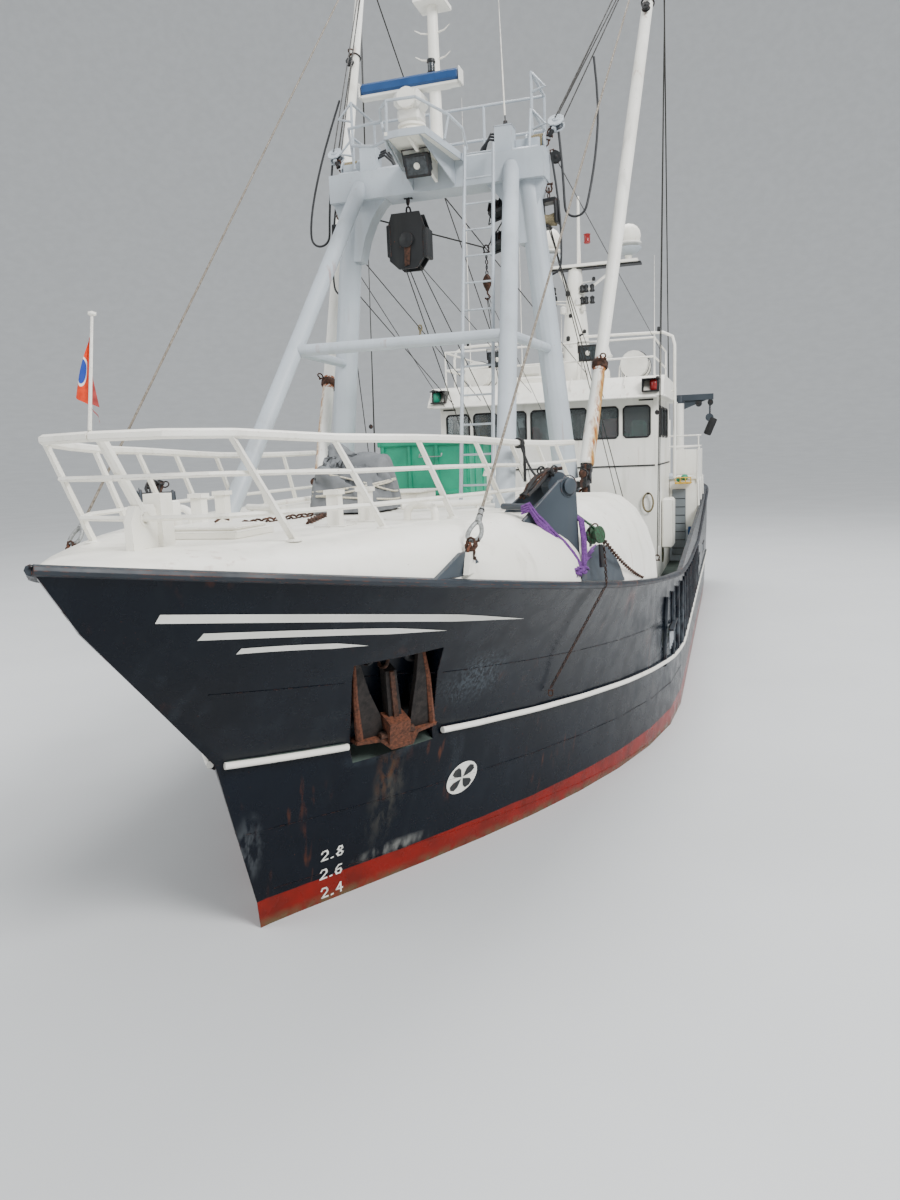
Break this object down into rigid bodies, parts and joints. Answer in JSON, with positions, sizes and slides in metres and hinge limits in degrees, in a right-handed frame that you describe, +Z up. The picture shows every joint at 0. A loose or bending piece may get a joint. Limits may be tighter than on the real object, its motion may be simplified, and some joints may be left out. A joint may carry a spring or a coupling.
{
  "type": "fishing trawler",
  "caption": "Steel fishing trawler with whaleback bow, gantry with two swinging derricks, working deck, wheelhouse aft, propeller in a nozzle and rudder.",
  "frame": {"origin": "on the waterline plane, amidships, on the centreline", "axes": "+X forward to the bow, +Y to port, +Z up"},
  "size_m": [23.88, 6.4187, 15.842],
  "materials": {
    "hull_paint": "semi-gloss marine paint, scuffed",
    "bottom_paint": "matt antifouling",
    "white_paint": "semi-gloss marine paint, rust at edges",
    "grey_paint": "semi-gloss marine paint",
    "slate_paint": "matt marine paint",
    "rusty_iron": "rusted",
    "wire_rope": "galvanised wire rope",
    "canvas": "coated canvas",
    "green_plastic": "moulded polyethylene",
    "white_plastic": "moulded glass-fibre",
    "blue_plastic": "moulded plastic",
    "flag_cloth": "woven polyester",
    "bronze": "cast bronze"
  },
  "bodies": {
    "ship": {"hull": "hull_paint", "bulwark_port": "hull_paint", "bulwark_starboard": "hull_paint", "bulwark_stern": "hull_paint", "strake_port": "white_paint", "strake_starboard": "white_paint", "whaleback": "white_paint", "foredeck_rail_port": "white_paint", "foredeck_rail_starboard": "white_paint", "windlass_cover": "canvas", "bow_bracket_port": "slate_paint", "bow_bracket_starboard": "slate_paint", "anchor_port": "rusty_iron", "anchor_starboard": "rusty_iron", "shelter": "white_paint", "deck_bin": "green_plastic", "gantry_brace_port": "grey_paint", "gantry_brace_starboard": "grey_paint", "gantry_cross_pipe": "grey_paint", "gantry_ladder": "grey_paint", "radar_platform": "white_paint", "gantry_beam": "grey_paint", "forward_mast": "white_paint", "hoist_block": "slate_paint", "gantry_leg_port": "grey_paint", "gantry_leg_starboard": "grey_paint", "hatch_coaming": "grey_paint", "winch_frame": "grey_paint", "house_side_port": "white_paint", "house_side_starboard": "white_paint", "house_front": "white_paint", "house_back": "white_paint", "boat_deck": "grey_paint", "wheelhouse_back": "white_paint", "wheelhouse_roof": "white_paint", "life_raft_port": "white_plastic", "life_raft_starboard": "white_plastic", "aft_mast": "white_paint", "exhaust_casing": "white_paint", "davit_post": "slate_paint", "nozzle": "bottom_paint", "flagstaff": "white_paint", "pennant": "flag_cloth"},
    "derrick_port": {"derrick_port": "white_paint", "derrick_rigging_port": "wire_rope"},
    "derrick_starboard": {"derrick_starboard": "white_paint", "derrick_rigging_starboard": "wire_rope"},
    "radar_scanner": {"radar_scanner": "blue_plastic"},
    "hatch_lid": {"hatch_lid": "grey_paint"},
    "winch_drum_port": {"winch_drum_port": "wire_rope"},
    "winch_drum_starboard": {"winch_drum_starboard": "wire_rope"},
    "side_door_port": {"side_door_port": "white_paint"},
    "side_door_starboard": {"side_door_starboard": "white_paint"},
    "wheelhouse_door": {"wheelhouse_door": "white_paint"},
    "davit_boom": {"davit_boom": "slate_paint"},
    "propeller": {"propeller": "bronze"},
    "rudder": {"rudder": "bottom_paint"}
  },
  "joints": [
    {"name": "derrick_port_topping", "type": "hinge", "parent": "ship", "child": "derrick_port", "pos_m": [3.93, 1.96, 3.7], "axis": [-0.9967, 0.0088, 0.0807], "range_deg": [0, 70]},
    {"name": "derrick_starboard_topping", "type": "hinge", "parent": "ship", "child": "derrick_starboard", "pos_m": [3.93, -1.96, 3.7], "axis": [0.9967, 0.0088, -0.0807], "range_deg": [0, 70]},
    {"name": "radar_turn", "type": "hinge", "parent": "ship", "child": "radar_scanner", "pos_m": [5, 0.07, 8.44], "axis": [0, 0, 1], "continuous": true},
    {"name": "hatch_lid_hinge", "type": "hinge", "parent": "ship", "child": "hatch_lid", "pos_m": [0.268, 0, 1.786], "axis": [0, -1, 0], "range_deg": [0, 100]},
    {"name": "winch_port_turn", "type": "hinge", "parent": "ship", "child": "winch_drum_port", "pos_m": [-1.7, 0.55, 1.98], "axis": [0, 1, 0], "continuous": true},
    {"name": "winch_starboard_turn", "type": "hinge", "parent": "ship", "child": "winch_drum_starboard", "pos_m": [-1.7, -0.55, 1.98], "axis": [0, 1, 0], "continuous": true},
    {"name": "side_door_port_hinge", "type": "hinge", "parent": "ship", "child": "side_door_port", "pos_m": [-7.308, 2.365, 2.25], "axis": [0, 0, -1], "range_deg": [0, 100]},
    {"name": "side_door_starboard_hinge", "type": "hinge", "parent": "ship", "child": "side_door_starboard", "pos_m": [-7.308, -2.365, 2.25], "axis": [0, 0, 1], "range_deg": [0, 100]},
    {"name": "wheelhouse_door_hinge", "type": "hinge", "parent": "ship", "child": "wheelhouse_door", "pos_m": [-6.396, 0.92, 4.12], "axis": [0, 0, -1], "range_deg": [0, 110]},
    {"name": "davit_slew", "type": "hinge", "parent": "ship", "child": "davit_boom", "pos_m": [-10.1, 2.35, 5.15], "axis": [0, 0, 1], "range_deg": [-80, 80]},
    {"name": "propeller_turn", "type": "hinge", "parent": "ship", "child": "propeller", "pos_m": [-9.95, 0, -1.6], "axis": [1, 0, 0], "continuous": true},
    {"name": "rudder_turn", "type": "hinge", "parent": "ship", "child": "rudder", "pos_m": [-10.85, 0, -1.6], "axis": [0, 0, 1], "range_deg": [-35, 35]}
  ]
}
